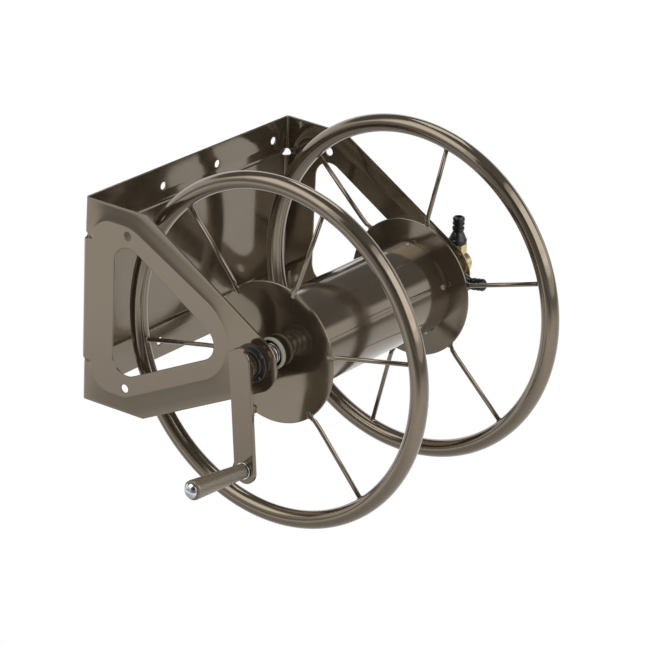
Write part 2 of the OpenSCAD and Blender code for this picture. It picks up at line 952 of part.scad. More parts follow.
// brass elbow fixed on the axle, which brings the water out to the hose
module outlet_elbow() {
  bevel = 2;
  top = outlet_reach - gasket_t;
  color("#b8923e")
    difference() {
      union() {
        on_axle(outlet_x - outlet_sleeve_l / 2)
          rotate_extrude()
            polygon([
              [0, 0], [outlet_sleeve_r - bevel, 0], [outlet_sleeve_r, bevel],
              [outlet_sleeve_r, outlet_sleeve_l - bevel],
              [outlet_sleeve_r - bevel, outlet_sleeve_l], [0, outlet_sleeve_l]
            ]);
        at_outlet() plug_socket(top, outlet_neck_r, 14);
      }
      at_outlet() plug_throat(top);
      on_axle(outlet_x - outlet_sleeve_l / 2 - cut)
        cylinder(r = axle_d / 2 + run_gap, h = outlet_sleeve_l + 2 * cut);
    }
}

module gasket() {
  translate([0, 0, -gasket_t]) ring(gasket_r, plug_thread_r + 3 * run_gap, gasket_t);
}

module inlet_gasket() {
  color("#1c1b1a") at_inlet() translate([0, 0, plug_seat]) gasket();
}

module outlet_gasket() {
  color("#1c1b1a") at_outlet() translate([0, 0, outlet_reach]) gasket();
}

// quick-connect plug: threaded foot, collar, flare and two grooved rings
module plug() {
  ring_r = 8.8;
  waist_r = 7.8;
  groove_r = 6.8;
  color("#161616")
    rotate_extrude()
      polygon([
        [plug_bore_r, -plug_thread_l], [plug_thread_r - 1, -plug_thread_l],
        [plug_thread_r, -plug_thread_l + 1], [plug_thread_r, 0],
        [plug_collar_r, 0], [plug_collar_r + 0.4, 1], [plug_collar_r + 0.4, 5],
        [plug_collar_r - 0.8, 6.5], [plug_collar_r - 1.4, 8], [10.4, 11],
        [9, 14], [waist_r, 16.5], [waist_r, 19], [ring_r, 20], [ring_r, 23.5],
        [groove_r, 24.5], [groove_r, 27], [ring_r, 28], [ring_r, 30.5],
        [groove_r + 0.6, 31], [groove_r + 0.6, 33.5], [ring_r, 34],
        [ring_r, plug_len - 2], [ring_r - 1.6, plug_len], [plug_bore_r, plug_len]
      ]);
}

module inlet_plug() {
  at_inlet() translate([0, 0, plug_seat]) plug();
}

module outlet_plug() {
  at_outlet() translate([0, 0, outlet_reach]) plug();
}

back_plate();
crank_side_panel();
inlet_side_panel();
crank_side_bearing();
inlet_side_bearing();
bearing_rivets();
tension_spring();
spring_seat();
thrust_ring();
friction_pad();
axle();
axle_plug();
crank_side_hub();
inlet_side_hub();
drum_shell();
drum_screws();
crank_side_disc();
inlet_side_disc();
crank_side_rim();
inlet_side_rim();
crank_spoke(0);  // crank_spoke_1
crank_spoke(1);  // crank_spoke_2
crank_spoke(2);  // crank_spoke_3
crank_spoke(3);  // crank_spoke_4
crank_spoke(4);  // crank_spoke_5
crank_spoke(5);  // crank_spoke_6
inlet_spoke(0);  // inlet_spoke_1
inlet_spoke(1);  // inlet_spoke_2
inlet_spoke(2);  // inlet_spoke_3
inlet_spoke(3);  // inlet_spoke_4
inlet_spoke(4);  // inlet_spoke_5
inlet_spoke(5);  // inlet_spoke_6
crank_arm();
crank_pin();
grip_bolt();
grip_washer();
grip();
grip_cap();
swivel_body();
swivel_seals();
swivel_clip();
inlet_gasket();
inlet_plug();
outlet_elbow();
outlet_seals();
outlet_gasket();
outlet_plug();
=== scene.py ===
import json
import math
import random

import bpy
import numpy as np
from mathutils import Matrix, Vector
from mathutils.geometry import delaunay_2d_cdt


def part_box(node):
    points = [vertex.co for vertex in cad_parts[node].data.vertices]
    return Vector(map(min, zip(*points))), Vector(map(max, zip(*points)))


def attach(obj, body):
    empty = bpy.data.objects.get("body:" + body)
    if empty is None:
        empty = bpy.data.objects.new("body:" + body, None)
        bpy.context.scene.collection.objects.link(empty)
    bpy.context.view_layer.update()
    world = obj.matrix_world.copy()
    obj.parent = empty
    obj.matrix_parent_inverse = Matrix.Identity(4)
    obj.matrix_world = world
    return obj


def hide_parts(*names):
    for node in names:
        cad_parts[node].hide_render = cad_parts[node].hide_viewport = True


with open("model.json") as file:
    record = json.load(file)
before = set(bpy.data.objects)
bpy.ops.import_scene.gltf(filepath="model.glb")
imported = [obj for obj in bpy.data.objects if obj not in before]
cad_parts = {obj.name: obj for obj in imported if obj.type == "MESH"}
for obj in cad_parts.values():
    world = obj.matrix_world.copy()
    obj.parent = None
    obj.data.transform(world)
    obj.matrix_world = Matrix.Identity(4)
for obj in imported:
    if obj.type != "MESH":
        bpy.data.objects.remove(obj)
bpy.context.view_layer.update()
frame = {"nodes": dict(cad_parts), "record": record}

# Metres, in the frame of the solids: X along the axle towards the inlet,
# Y into the wall, Z up. Sizes are written in millimetres.

MM = 0.001
NODES = frame["nodes"]


def middle(node):
    """Middle of a solid's box."""
    low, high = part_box(node)
    return (low + high) / 2


AXLE = middle("axle")
REEL_X = (middle("crank_side_rim").x + middle("inlet_side_rim").x) / 2

# bracket, the side panels seen along the axle
HALF_W = 226
SHEET_T = 2.5
FOLD_R = 5
PRESS_D = 3
WALL_Y = 300
FOLD_Y = WALL_Y - PRESS_D - FOLD_R
SIDE_TOP = 162
SIDE_BOTTOM = -142
PLATE_BOTTOM = -134
SHOULDER_Y = 188
SHOULDER_R = 6
NOSE_R = 43
EDGE_R = 1.2
EDGE_LEAN = math.radians(82)

# its holes: radii, and places from the axle or in from the sloping edges
BUSH_HOLE_R = 19.1
WINDOW_BACK_Y = 242
WINDOW_UPPER_IN = 58.5
WINDOW_LOWER_IN = 62
WINDOW_R = 26
SIDE_HOLE_Y = 219
SIDE_HOLE_ZS = (124, -104)
SIDE_HOLE_R = 6
WALL_HOLE_XS = (-191.2, -60.7, 60.7, 191.2)
WALL_HOLE_ZS = (131, -108)
WALL_HOLE_R = 5.5
UPPER_NOTCH_Z, UPPER_NOTCH_R = 105, 5.5
LOWER_NOTCH_Z, LOWER_NOTCH_R = -81, 2.8

# its pressed panel: where its edge runs, and how the sheet comes up from it
PRESS_BACK_Y = 280
PRESS_TOP_Z = 138
PRESS_BOTTOM_Z = -118
PRESS_FOLD_TOP_Z = 102.5
PRESS_FOLD_BOTTOM_Z = -78.5
PRESS_CREASE = ((213.0, PRESS_TOP_Z), (72.0, 65.0))
PRESS_LOWER_IN = 35
PRESS_CORNER_RS = [3.2, 32, 60, 64, 24, 32, 3.2]
CREASE_W = 5
SLOPE_W = 23
SLOPE_STEPS = (-1.2, 0, 1, 2.2, 3.6, 5, 7, 9.5, 12.5, 16, 19.5)

# degrees between the points of the sheet's arcs
ARC_STEP = 6

# wheels, drum and crank
REEL_OFF = 20
RIM_R = 241.3
TUBE_R = 12.7
RIM_GAP = 309.2
DISC_R = 101.6
DISC_T = 3
SPOKES = 6
SPOKE_R = 3.2
DRUM_R = 68.3
AXLE_R = 12.7
ARM_OUT = 27
ARM_X = REEL_OFF - HALF_W - ARM_OUT
ARM_T = 7
ARM_W = 35
ARM_TAIL = 29
ARM_TIP = 20
CRANK_R = 147
CRANK_LEAN = 5.5
GRIP_TILT = 5
GRIP_Z = 3.6
GRIP_LEN = 108
GRIP_BORE_R = 4.2

# bushes and friction parts
BUSH_R = 19
BUSH_IN = 5
BUSH_OUT = 9
FLANGE_R = 27
FLANGE_OUT = 6
SEAT_T = 2
PAD_T = 3
THRUST_T = 6
WIRE_D = 2.5
WIRE_TURNS = 5


# ---------------------------------------------------------------- materials
def material(name):
    """A new node material, its tree and its shader."""
    mat = bpy.data.materials.new(name)
    mat.use_nodes = True
    return mat, mat.node_tree, mat.node_tree.nodes["Principled BSDF"]


def noise(tree, scale, detail=3.0, stretch=(1, 1, 1)):
    """Noise in object space, which is the frame's own metres."""
    place = tree.nodes.new("ShaderNodeTexCoord")
    shape = tree.nodes.new("ShaderNodeMapping")
    shape.inputs["Scale"].default_value = stretch
    texture = tree.nodes.new("ShaderNodeTexNoise")
    texture.inputs["Scale"].default_value = scale
    texture.inputs["Detail"].default_value = detail
    tree.links.new(place.outputs["Object"], shape.inputs["Vector"])
    tree.links.new(shape.outputs["Vector"], texture.inputs["Vector"])
    return texture.outputs["Fac"]


def spread(tree, source, low, high, start=0.35, end=0.65):
    """Maps a 0 to 1 source onto low to high."""
    node = tree.nodes.new("ShaderNodeMapRange")
    node.inputs["From Min"].default_value = start
    node.inputs["From Max"].default_value = end
    node.inputs["To Min"].default_value = low
    node.inputs["To Max"].default_value = high
    tree.links.new(source, node.inputs["Value"])
    return node.outputs["Result"]


def blend_colours(tree, factor, first, second):
    """Mixes two colours by a factor."""
    node = tree.nodes.new("ShaderNodeMix")
    node.data_type = "RGBA"
    colours = [s for s in node.inputs if s.type == "RGBA"]
    colours[0].default_value = (*first, 1)
    colours[1].default_value = (*second, 1)
    tree.links.new(factor, node.inputs["Factor"])
    return [s for s in node.outputs if s.type == "RGBA"][0]


def relief(tree, heights, normal=None):
    """Chain of bumps from (source, strength, depth in metres)."""
    for source, strength, depth in heights:
        node = tree.nodes.new("ShaderNodeBump")
        node.inputs["Strength"].default_value = strength
        node.inputs["Distance"].default_value = depth
        tree.links.new(source, node.inputs["Height"])
        if normal:
            tree.links.new(normal, node.inputs["Normal"])
        normal = node.outputs["Normal"]
    return normal


def round_edges(tree, radius):
    """Normal that rounds the solids' own sharp edges."""
    node = tree.nodes.new("ShaderNodeBevel")
    node.samples = 6
    node.inputs["Radius"].default_value = radius * MM
    return node.outputs["Normal"]


def powder_coat(name, light, dark, waves, rough, metal=0.82, coat=0.9):
    """Metallic powder coat: faint clouding, waves of the sheet, handling marks."""
    mat, tree, shader = material(name)
    clouds = noise(tree, 18, 4)
    tree.links.new(blend_colours(tree, clouds, dark, light), shader.inputs["Base Color"])
    shader.inputs["Metallic"].default_value = metal
    marks = noise(tree, 50, 6)
    tree.links.new(spread(tree, marks, rough, rough + 0.05), shader.inputs["Roughness"])
    shader.inputs["Coat Weight"].default_value = coat
    shader.inputs["Coat Roughness"].default_value = rough
    normal = relief(tree, [
        (noise(tree, 8, 1), 0.25, waves),
        (noise(tree, 300, 2), 0.12, 0.00002),
    ])
    tree.links.new(normal, shader.inputs["Normal"])
    return mat


def turned_metal(name, light, dark, roughness, edge):
    """Bare metal with fine turning lines."""
    mat, tree, shader = material(name)
    lines = noise(tree, 30, 5, (90, 3, 3))
    tree.links.new(blend_colours(tree, lines, dark, light), shader.inputs["Base Color"])
    shader.inputs["Metallic"].default_value = 1.0
    wear = spread(tree, lines, roughness * 0.7, roughness * 1.3)
    tree.links.new(wear, shader.inputs["Roughness"])
    normal = relief(tree, [(lines, 0.2, 0.00006)], round_edges(tree, edge))
    tree.links.new(normal, shader.inputs["Normal"])
    return mat


def moulded(name, light, dark, roughness, edge):
    """Moulded plastic or rubber with a faint satin texture."""
    mat, tree, shader = material(name)
    clouds = noise(tree, 60, 4)
    tree.links.new(blend_colours(tree, clouds, dark, light), shader.inputs["Base Color"])
    wear = spread(tree, clouds, roughness * 0.8, roughness * 1.25)
    tree.links.new(wear, shader.inputs["Roughness"])
    grain = noise(tree, 1500, 2)
    normal = relief(tree, [(grain, 0.12, 0.00006)], round_edges(tree, edge))
    tree.links.new(normal, shader.inputs["Normal"])
    return mat


MATERIALS = {
    "bronze_coat": powder_coat(
        "bronze_coat", (0.218, 0.174, 0.122), (0.202, 0.161, 0.112), waves=0.0006, rough=0.09
    ),
    "satin_coat": powder_coat(
        "satin_coat", (0.25, 0.205, 0.155), (0.23, 0.188, 0.14),
        waves=0.0002, rough=0.32, metal=0.4, coat=0.3,
    ),
    "bearing_steel": powder_coat(
        "bearing_coat", (0.07, 0.06, 0.052), (0.05, 0.043, 0.038), waves=0.0002, rough=0.5
    ),
    "zinc_steel": turned_metal(
        "zinc_steel", (0.50, 0.48, 0.45), (0.36, 0.35, 0.33), roughness=0.5, edge=0.3
    ),
    "hub_steel": turned_metal(
        "hub_steel", (0.36, 0.34, 0.32), (0.25, 0.24, 0.22), roughness=0.4, edge=0.5
    ),
    "spring_steel": turned_metal(
        "spring_steel", (0.78, 0.78, 0.77), (0.58, 0.58, 0.57), roughness=0.18, edge=0.2
    ),
    "cream_nylon": moulded(
        "cream_nylon", (0.66, 0.62, 0.47), (0.58, 0.54, 0.40), roughness=0.35, edge=0.3
    ),
    "seal_rubber": moulded(
        "seal_rubber", (0.022, 0.022, 0.022), (0.014, 0.014, 0.014), roughness=0.6, edge=0.3
    ),
    "chrome_trim": turned_metal(
        "chrome_trim", (0.72, 0.74, 0.76), (0.62, 0.64, 0.66), roughness=0.12, edge=0.3
    ),
    "brass": turned_metal(
        "brass", (0.84, 0.67, 0.36), (0.74, 0.57, 0.28), roughness=0.25, edge=0.5
    ),
    "black_plastic": moulded(
        "black_plastic", (0.014, 0.014, 0.015), (0.009, 0.009, 0.009),
        roughness=0.2, edge=0.4,
    ),
}

# coated over with what they hold
COATED_OVER = {"bearing_rivets": "bearing_steel"}


def dress_nodes():
    """Gives each solid the finish of its own material slot."""
    for part in frame["record"]["subparts"]:
        node = NODES[part["node"]]
        node.data.materials.clear()
        finish = COATED_OVER.get(part["node"], part["material_slot"])
        node.data.materials.append(MATERIALS[finish])


# ---------------------------------------------------------------- mesh tools
def piece(name, verts, faces, normals, place, body, slot, replaced=(), finish=None):
    """Makes a mesh object, in place, that rides on a body.

    verts are in millimetres in the matrix place. normals is one per vertex, one
    list per face with one per corner, or None for Blender's own smooth ones. finish
    is a material of its own within the slot.
    """
    mesh = bpy.data.meshes.new(name)
    mesh.from_pydata([place @ (Vector(v) * MM) for v in verts], [], faces)
    mesh.polygons.foreach_set("use_smooth", [True] * len(mesh.polygons))
    if normals is not None:
        turn = place.to_3x3()
        if len(np.shape(normals[0])) == 1:
            mesh.normals_split_custom_set_from_vertices(
                [turn @ Vector(n) for n in normals]
            )
        else:
            corners = [turn @ Vector(n) for face in normals for n in face]
            mesh.normals_split_custom_set(corners)
    mesh.materials.append(MATERIALS[finish or slot])
    obj = bpy.data.objects.new(name, mesh)
    bpy.context.scene.collection.objects.link(obj)
    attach(obj, body)
    if replaced:
        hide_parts(*replaced)
    return obj


def on_axle(x=0.0):
    """Frame on the axle: Z along it towards the inlet, X hanging down."""
    turn = Matrix(((0, 0, 1), (0, 1, 0), (-1, 0, 0))).to_4x4()
    return Matrix.Translation((REEL_X + x * MM, AXLE.y, AXLE.z)) @ turn


def on_arm():
    """Frame of the crank arm's outer side, its X along the arm."""
    return on_axle(ARM_X) @ Matrix.Rotation(math.radians(-CRANK_LEAN), 4, "Z")


def on_grip():
    """Frame of the grip, its Z pointing out along it."""
    out = Matrix.Rotation(math.radians(180 + GRIP_TILT), 4, "Y")
    return on_arm() @ Matrix.Translation((CRANK_R * MM, 0, 0)) @ out


def right_of(v):
    """A direction turned a quarter to its right."""
    return np.array([v[1], -v[0]])


def unit(v):
    """A vector at length 1."""
    return v / np.linalg.norm(v)


def rounded(corners, radii, step=15.0):
    """Closed outline with rounded corners, an arc's points at most step degrees apart.

    Gives (point, normal before it, normal after it), the normals right of travel.
    """
    points = [np.array(c, float) for c in corners]
    out = []
    for i, (p, r) in enumerate(zip(points, radii)):
        a = unit(p - points[i - 1])
        b = unit(points[(i + 1) % len(points)] - p)
        if r <= 0:
            out.append((p, right_of(a), right_of(b)))
            continue
        turned = math.atan2(a[0] * b[1] - a[1] * b[0], a @ b)
        bend = math.copysign(r, turned)
        centre = p - a * (r * math.tan(abs(turned) / 2)) - right_of(a) * bend
        start = math.atan2(a[1], a[0])
        count = max(1, math.ceil(abs(math.degrees(turned)) / step))
        for k in range(count + 1):
            angle = start + turned * k / count
            normal = right_of(np.array([math.cos(angle), math.sin(angle)]))
            out.append((centre + normal * bend, normal, normal))
    return out


def lathe(profile, closed=True, steps=96):
    """Turns a profile of (radius, height) points round Z, with exact normals."""
    verts, faces, normals, rings = [], [], [], []
    turns = [2 * math.pi * k / steps for k in range(steps)]
    for point, _, _ in profile:
        if point[0] < 1e-6:
            rings.append([len(verts)] * steps)
            verts.append((0, 0, point[1]))
        else:
            rings.append(list(range(len(verts), len(verts) + steps)))
            verts += [(point[0] * math.cos(t), point[0] * math.sin(t), point[1])
                      for t in turns]
    ends = len(profile) if closed else len(profile) - 1
    for i in range(ends):
        j = (i + 1) % len(profile)
        for k in range(steps):
            m = (k + 1) % steps
            corners = [(i, k), (i, m), (j, m), (j, k)]
            ring = [rings[a][b] for a, b in corners]
            keep = [q for q in range(4) if ring[q] != ring[q - 1]]
            if len(keep) < 3:
                continue
            faces.append([ring[q] for q in keep])
            face_normals = []
            for q in keep:
                side, turn = corners[q]
                n = profile[side][2] if side == i else profile[side][1]
                t = turns[turn]
                face_normals.append((n[0] * math.cos(t), n[0] * math.sin(t), n[1]))
            normals.append(face_normals)
    return verts, faces, normals


def joined(*parts):
    """Several (verts, faces, normals) as one."""
    verts, faces, normals = [], [], []
    for v, f, n in parts:
        faces += [[i + len(verts) for i in face] for face in f]
        verts += list(v)
        normals += list(n)
    return verts, faces, normals


def tube(rings):
    """Skin over rings of points, each ring in order round its own centre, with end caps."""
    count = len(rings[0])
    verts = [p for ring in rings for p in ring]
    faces = []
    for i in range(len(rings) - 1):
        for k in range(count):
            m = (k + 1) % count
            faces.append([i * count + k, i * count + m, (i + 1) * count + m,
                          (i + 1) * count + k])
    faces.append(list(range(count))[::-1])
    faces.append([(len(rings) - 1) * count + k for k in range(count)])
    return verts, faces


def plate(outline, thickness, edge):
    """Flat bar from an outline, with rounded edges, lying from 0 to thickness in Z."""
    quarter = [math.radians(22.5 * k) for k in range(5)]
    section = [
        (edge * (1 - math.sin(a)), edge * (1 - math.cos(a)), -math.cos(a), math.sin(a))
        for a in quarter
    ]
    section += [(i, thickness - z, -nz, nr) for i, z, nz, nr in section[::-1]]
    verts, faces, normals = [], [], []
    count = len(outline)
    for inset, z, nz, nr in section:
        for p, n, _ in outline:
            verts.append((p[0] - n[0] * inset, p[1] - n[1] * inset, z))
    for i in range(len(section) - 1):
        for k in range(count):
            m = (k + 1) % count
            corners = [(i, k), (i, m), (i + 1, m), (i + 1, k)]
            faces.append([a * count + b for a, b in corners])
            face_normals = []
            for a, b in corners:
                n, (nz, nr) = outline[b][1], section[a][2:]
                face_normals.append((n[0] * nr, n[1] * nr, nz))
            normals.append(face_normals)
    faces.append(list(range(count))[::-1])
    normals.append([(0, 0, -1)] * count)
    faces.append([(len(section) - 1) * count + k for k in range(count)])
    normals.append([(0, 0, 1)] * count)
    return verts, faces, normals


# ---------------------------------------------------------------- the bracket
def meet(p, u, q, v):
    """Where two lines meet, each given by a point and a direction."""
    d = q - p
    return p + u * ((d[0] * v[1] - d[1] * v[0]) / (u[0] * v[1] - u[1] * v[0]))


UPPER_SHOULDER = np.array([SHOULDER_Y, SIDE_TOP], float)
LOWER_SHOULDER = np.array([SHOULDER_Y, SIDE_BOTTOM], float)


def slope(shoulder, side):
    """Direction of the line from a shoulder that just touches the nose."""
    away = -shoulder if side > 0 else shoulder
    angle = math.atan2(away[1], away[0])
    angle -= side * math.asin(NOSE_R / np.linalg.norm(shoulder))
    return np.array([math.cos(angle), math.sin(angle)])


UPPER_DIR = slope(UPPER_SHOULDER, 1)
LOWER_DIR = slope(LOWER_SHOULDER, -1)


def upper_line(inset):
    """A point of the upper slope's line, moved in."""
    return UPPER_SHOULDER - right_of(UPPER_DIR) * inset


def lower_line(inset):
    """A point of the lower slope's line, moved in."""
    return LOWER_SHOULDER - right_of(LOWER_DIR) * inset


def slopes_meet(upper_inset, lower_inset):
    """Where the slopes' lines meet, each moved in."""
    return meet(upper_line(upper_inset), UPPER_DIR, lower_line(lower_inset), LOWER_DIR)


def level_meets(z, line, direction):
    """Where a line passes a height."""
    return meet(np.array([0.0, z]), np.array([1.0, 0.0]), line, direction)


FOLD_START = HALF_W - FOLD_R
FOLD_END = FOLD_START + FOLD_R * math.pi / 2


def flat(y, z):
    """A side panel's (y, z) on the unfolded sheet of the inlet side."""
    return np.array([FOLD_END + FOLD_Y - y, z])


def both_sides(corners):
    """Unfolded corners of one side, then the same mirrored, as one loop."""
    return corners + [np.array([-c[0], c[1]]) for c in corners[::-1]]


def circle(centre, radius, steps=40):
    """Loop of points on a circle."""
    turns = [2 * math.pi * k / steps for k in range(steps)]
    return np.array([centre + radius * np.array([math.cos(t), math.sin(t)]) for t in turns])


def points_of(outline):
    """An outline's points alone."""
    return np.array([p for p, _, _ in outline])


def press_outline():
    """Edge of the pressed panel on the unfolded sheet, at its full depth."""
    crease_from, crease_to = (np.array(end) for end in PRESS_CREASE)
    crease = unit(crease_to - crease_from)
    lower = lower_line(PRESS_LOWER_IN)
    half = [flat(y, z) for y, z in (
        (PRESS_BACK_Y, PRESS_FOLD_TOP_Z), (PRESS_BACK_Y, PRESS_TOP_Z), crease_from,
        meet(crease_to, crease, lower, LOWER_DIR),
        level_meets(PRESS_BOTTOM_Z, lower, LOWER_DIR),
        (PRESS_BACK_Y, PRESS_BOTTOM_Z), (PRESS_BACK_Y, PRESS_FOLD_BOTTOM_Z),
    )]
    return both_sides(half), PRESS_CORNER_RS + PRESS_CORNER_RS[::-1]


def sheet_outline():
    """Edge of the whole unfolded sheet."""
    half = [flat(FOLD_Y, SIDE_TOP), flat(*UPPER_SHOULDER), flat(*slopes_meet(0, 0)),
            flat(*LOWER_SHOULDER), flat(FOLD_Y, SIDE_BOTTOM),
            np.array([FOLD_START, SIDE_BOTTOM]), np.array([FOLD_START, PLATE_BOTTOM])]
    radii = [0, SHOULDER_R, NOSE_R, SHOULDER_R, 0, 1, 1]
    return both_sides(half), radii + radii[::-1]


def notch(z, radius):
    """Relief notch bored at 45 degrees through the fold, on the unfolded sheet."""
    middle_u = (FOLD_START + FOLD_END) / 2
    chord = FOLD_R * math.sin(math.pi / 4)
    steps = 32
    loop = []
    for k in range(steps):
        t = 2 * math.pi * k / steps
        across, up = radius * math.cos(t), radius * math.sin(t)
        if abs(across) <= chord:
            along = FOLD_R * math.asin(across / FOLD_R)
        else:
            run = (abs(across) - chord) * math.sqrt(2)
            along = math.copysign(FOLD_R * math.pi / 4 + run, across)
        loop.append((middle_u + along, z + up))
    return np.array(loop)


def sheet_holes():
    """Every hole of the unfolded sheet, as loops of points."""
    back_line = np.array([WINDOW_BACK_Y, 0.0]), np.array([0.0, 1.0])
    window = [
        slopes_meet(WINDOW_UPPER_IN, WINDOW_LOWER_IN),
        meet(lower_line(WINDOW_LOWER_IN), LOWER_DIR, *back_line),
        meet(upper_line(WINDOW_UPPER_IN), UPPER_DIR, *back_line),
    ]
    window = points_of(rounded([flat(*c) for c in window], [WINDOW_R] * 3, ARC_STEP))
    loops = [window, circle(flat(0, 0), BUSH_HOLE_R, 64)]
    loops += [circle(flat(SIDE_HOLE_Y, z), SIDE_HOLE_R) for z in SIDE_HOLE_ZS]
    loops += [notch(UPPER_NOTCH_Z, UPPER_NOTCH_R), notch(LOWER_NOTCH_Z, LOWER_NOTCH_R)]
    loops += [loop * np.array([-1, 1]) for loop in loops]
    loops += [circle(np.array([x, z]), WALL_HOLE_R)
              for x in WALL_HOLE_XS for z in WALL_HOLE_ZS]
    return loops


def nearest(points, loops):
    """Distance from each point to the nearest of the loops, and the direction to there."""
    best = np.full(len(points), 1e9)
    way = np.zeros((len(points), 2))
    for loop in loops:
        for a, b in zip(loop, np.roll(loop, -1, axis=0)):
            run = b - a
            length = run @ run
            if length < 1e-12:
                continue
            t = np.clip((points - a) @ run / length, 0, 1)
            gap = a + t[:, None] * run - points
            d = np.hypot(gap[:, 0], gap[:, 1])
            closer = d < best
            best[closer] = d[closer]
            way[closer] = gap[closer]
    return best, way / np.maximum(best, 1e-9)[:, None]


def inside(points, loop):
    """Which points lie inside a loop."""
    result = np.zeros(len(points), bool)
    x, y = points[:, 0], points[:, 1]
    for a, b in zip(loop, np.roll(loop, -1, axis=0)):
        if a[1] == b[1]:
            continue
        crosses = (a[1] > y) != (b[1] > y)
        at = a[0] + (y - a[1]) / (b[1] - a[1]) * (b[0] - a[0])
        result ^= crosses & (x < at)
    return result


def run_up(values, start, end):
    """0 before start, 1 beyond end and straight between."""
    return np.clip((values - start) / (end - start), 0, 1)


def smooth(t):
    """Eases a run from 0 to 1 at both ends."""
    return t * t * (3 - 2 * t)


def press_depth(points, loop):
    """How far the sheet stands out: a crease on the back, a wide slope at the sides."""
    reach, height = np.abs(points[:, 0]), points[:, 1]
    away, _ = nearest(points, [loop])
    away[inside(points, loop)] = 0
    change_w = 30
    on_side = smooth(run_up(reach, FOLD_END, FOLD_END + change_w))

    # back plate and folds: the border stands out towards the fold, less at its top
    border_d, less_at_top = 2.2, 1.6
    border = border_d - less_at_top * run_up(height, 120, SIDE_TOP)
    border *= run_up(reach, FOLD_START, FOLD_END)
    crease = smooth(run_up(-away, -CREASE_W, 0))
    on_back = border + (PRESS_D - border) * crease

    # side panels: steepest at the crease, and falling further at the top
    fall, more_at_top, steep_share = 3.4, 0.6, 0.14
    out = run_up(away, 0, SLOPE_W)
    slant = (1 - steep_share) * out + steep_share * (1 - (1 - out) ** 5)
    drop = fall + more_at_top * run_up(height, 100, 160)
    return on_back * (1 - on_side) + (PRESS_D - drop * slant) * on_side


def folded(u, v):
    """Point, outward normal and along-sheet direction of the unfolded (u, v)."""
    side = 1 if u >= 0 else -1
    run = abs(u)
    if run <= FOLD_START:
        point, normal, along = (u, WALL_Y - PRESS_D, v), (0, 1, 0), (1, 0, 0)
    elif run >= FOLD_END:
        point = (side * HALF_W, FOLD_Y - (run - FOLD_END), v)
        normal, along = (side, 0, 0), (0, -side, 0)
    else:
        a = (run - FOLD_START) / FOLD_R
        c, s = math.cos(a), math.sin(a)
        point = (side * (FOLD_START + FOLD_R * s), FOLD_Y + FOLD_R * c, v)
        normal, along = (side * s, c, 0), (c, -side * s, 0)
    return np.array(point, float), np.array(normal, float), np.array(along, float)


def units(rows):
    """Each row at length 1."""
    return rows / np.maximum(np.linalg.norm(rows, axis=1), 1e-9)[:, None]


def inset_loop(loop, distance, outward):
    """A closed loop of points moved sideways."""
    ahead = np.roll(loop, -1, axis=0)
    before = units(loop - np.roll(loop, 1, axis=0))
    after = units(ahead - loop)
    mean = units(before + after)
    side = np.stack([mean[:, 1], -mean[:, 0]], axis=1)
    stretch = 1 / np.maximum((mean * before).sum(axis=1), 0.5)
    area = (loop[:, 0] * ahead[:, 1] - ahead[:, 0] * loop[:, 1]).sum()
    turn = distance * (1 if area > 0 else -1) * (1 if outward else -1)
    return loop + side * (turn * stretch)[:, None]


def sheet_triangles(edges, press):
    """Triangulates the unfolded sheet along its edges, its creases and its folds."""
    points, lines = [], []

    def add_line(loop, closed=True):
        first = len(points)
        points.extend(Vector(p) for p in loop)
        count = len(loop)
        lines.extend((first + k, first + (k + 1) % count)
                     for k in range(count if closed else count - 1))

    # the edges with their rounding, part way up and where it ends
    for i, loop in enumerate(edges):
        add_line(loop)
        for step in (0.293 * EDGE_R, EDGE_R):
            add_line(inset_loop(loop, step, i > 0))
    for step in SLOPE_STEPS:
        add_line(inset_loop(press, step, True))

    # each fold in strips, by lines from below the sheet to above it
    strips = 6
    start, spacing, count = SIDE_BOTTOM - 5, 4, 80
    for side in (-1, 1):
        for k in range(strips + 1):
            u = side * (FOLD_START + (FOLD_END - FOLD_START) * k / strips)
            line = [(u, start + spacing * j) for j in range(count)]
            add_line(line, closed=False)
    found = delaunay_2d_cdt(points, lines, [], 0, 1e-5)
    sheet = np.array([tuple(p) for p in found[0]])
    triangles = np.array([tuple(f) for f in found[2]])
    centre = sheet[triangles].mean(axis=1)
    keep = inside(centre, edges[0])
    for hole in edges[1:]:
        keep &= ~inside(centre, hole)
    triangles = triangles[keep]
    used = np.unique(triangles)
    renumber = np.full(len(sheet), -1)
    renumber[used] = np.arange(len(used))
    return sheet[used], renumber[triangles]


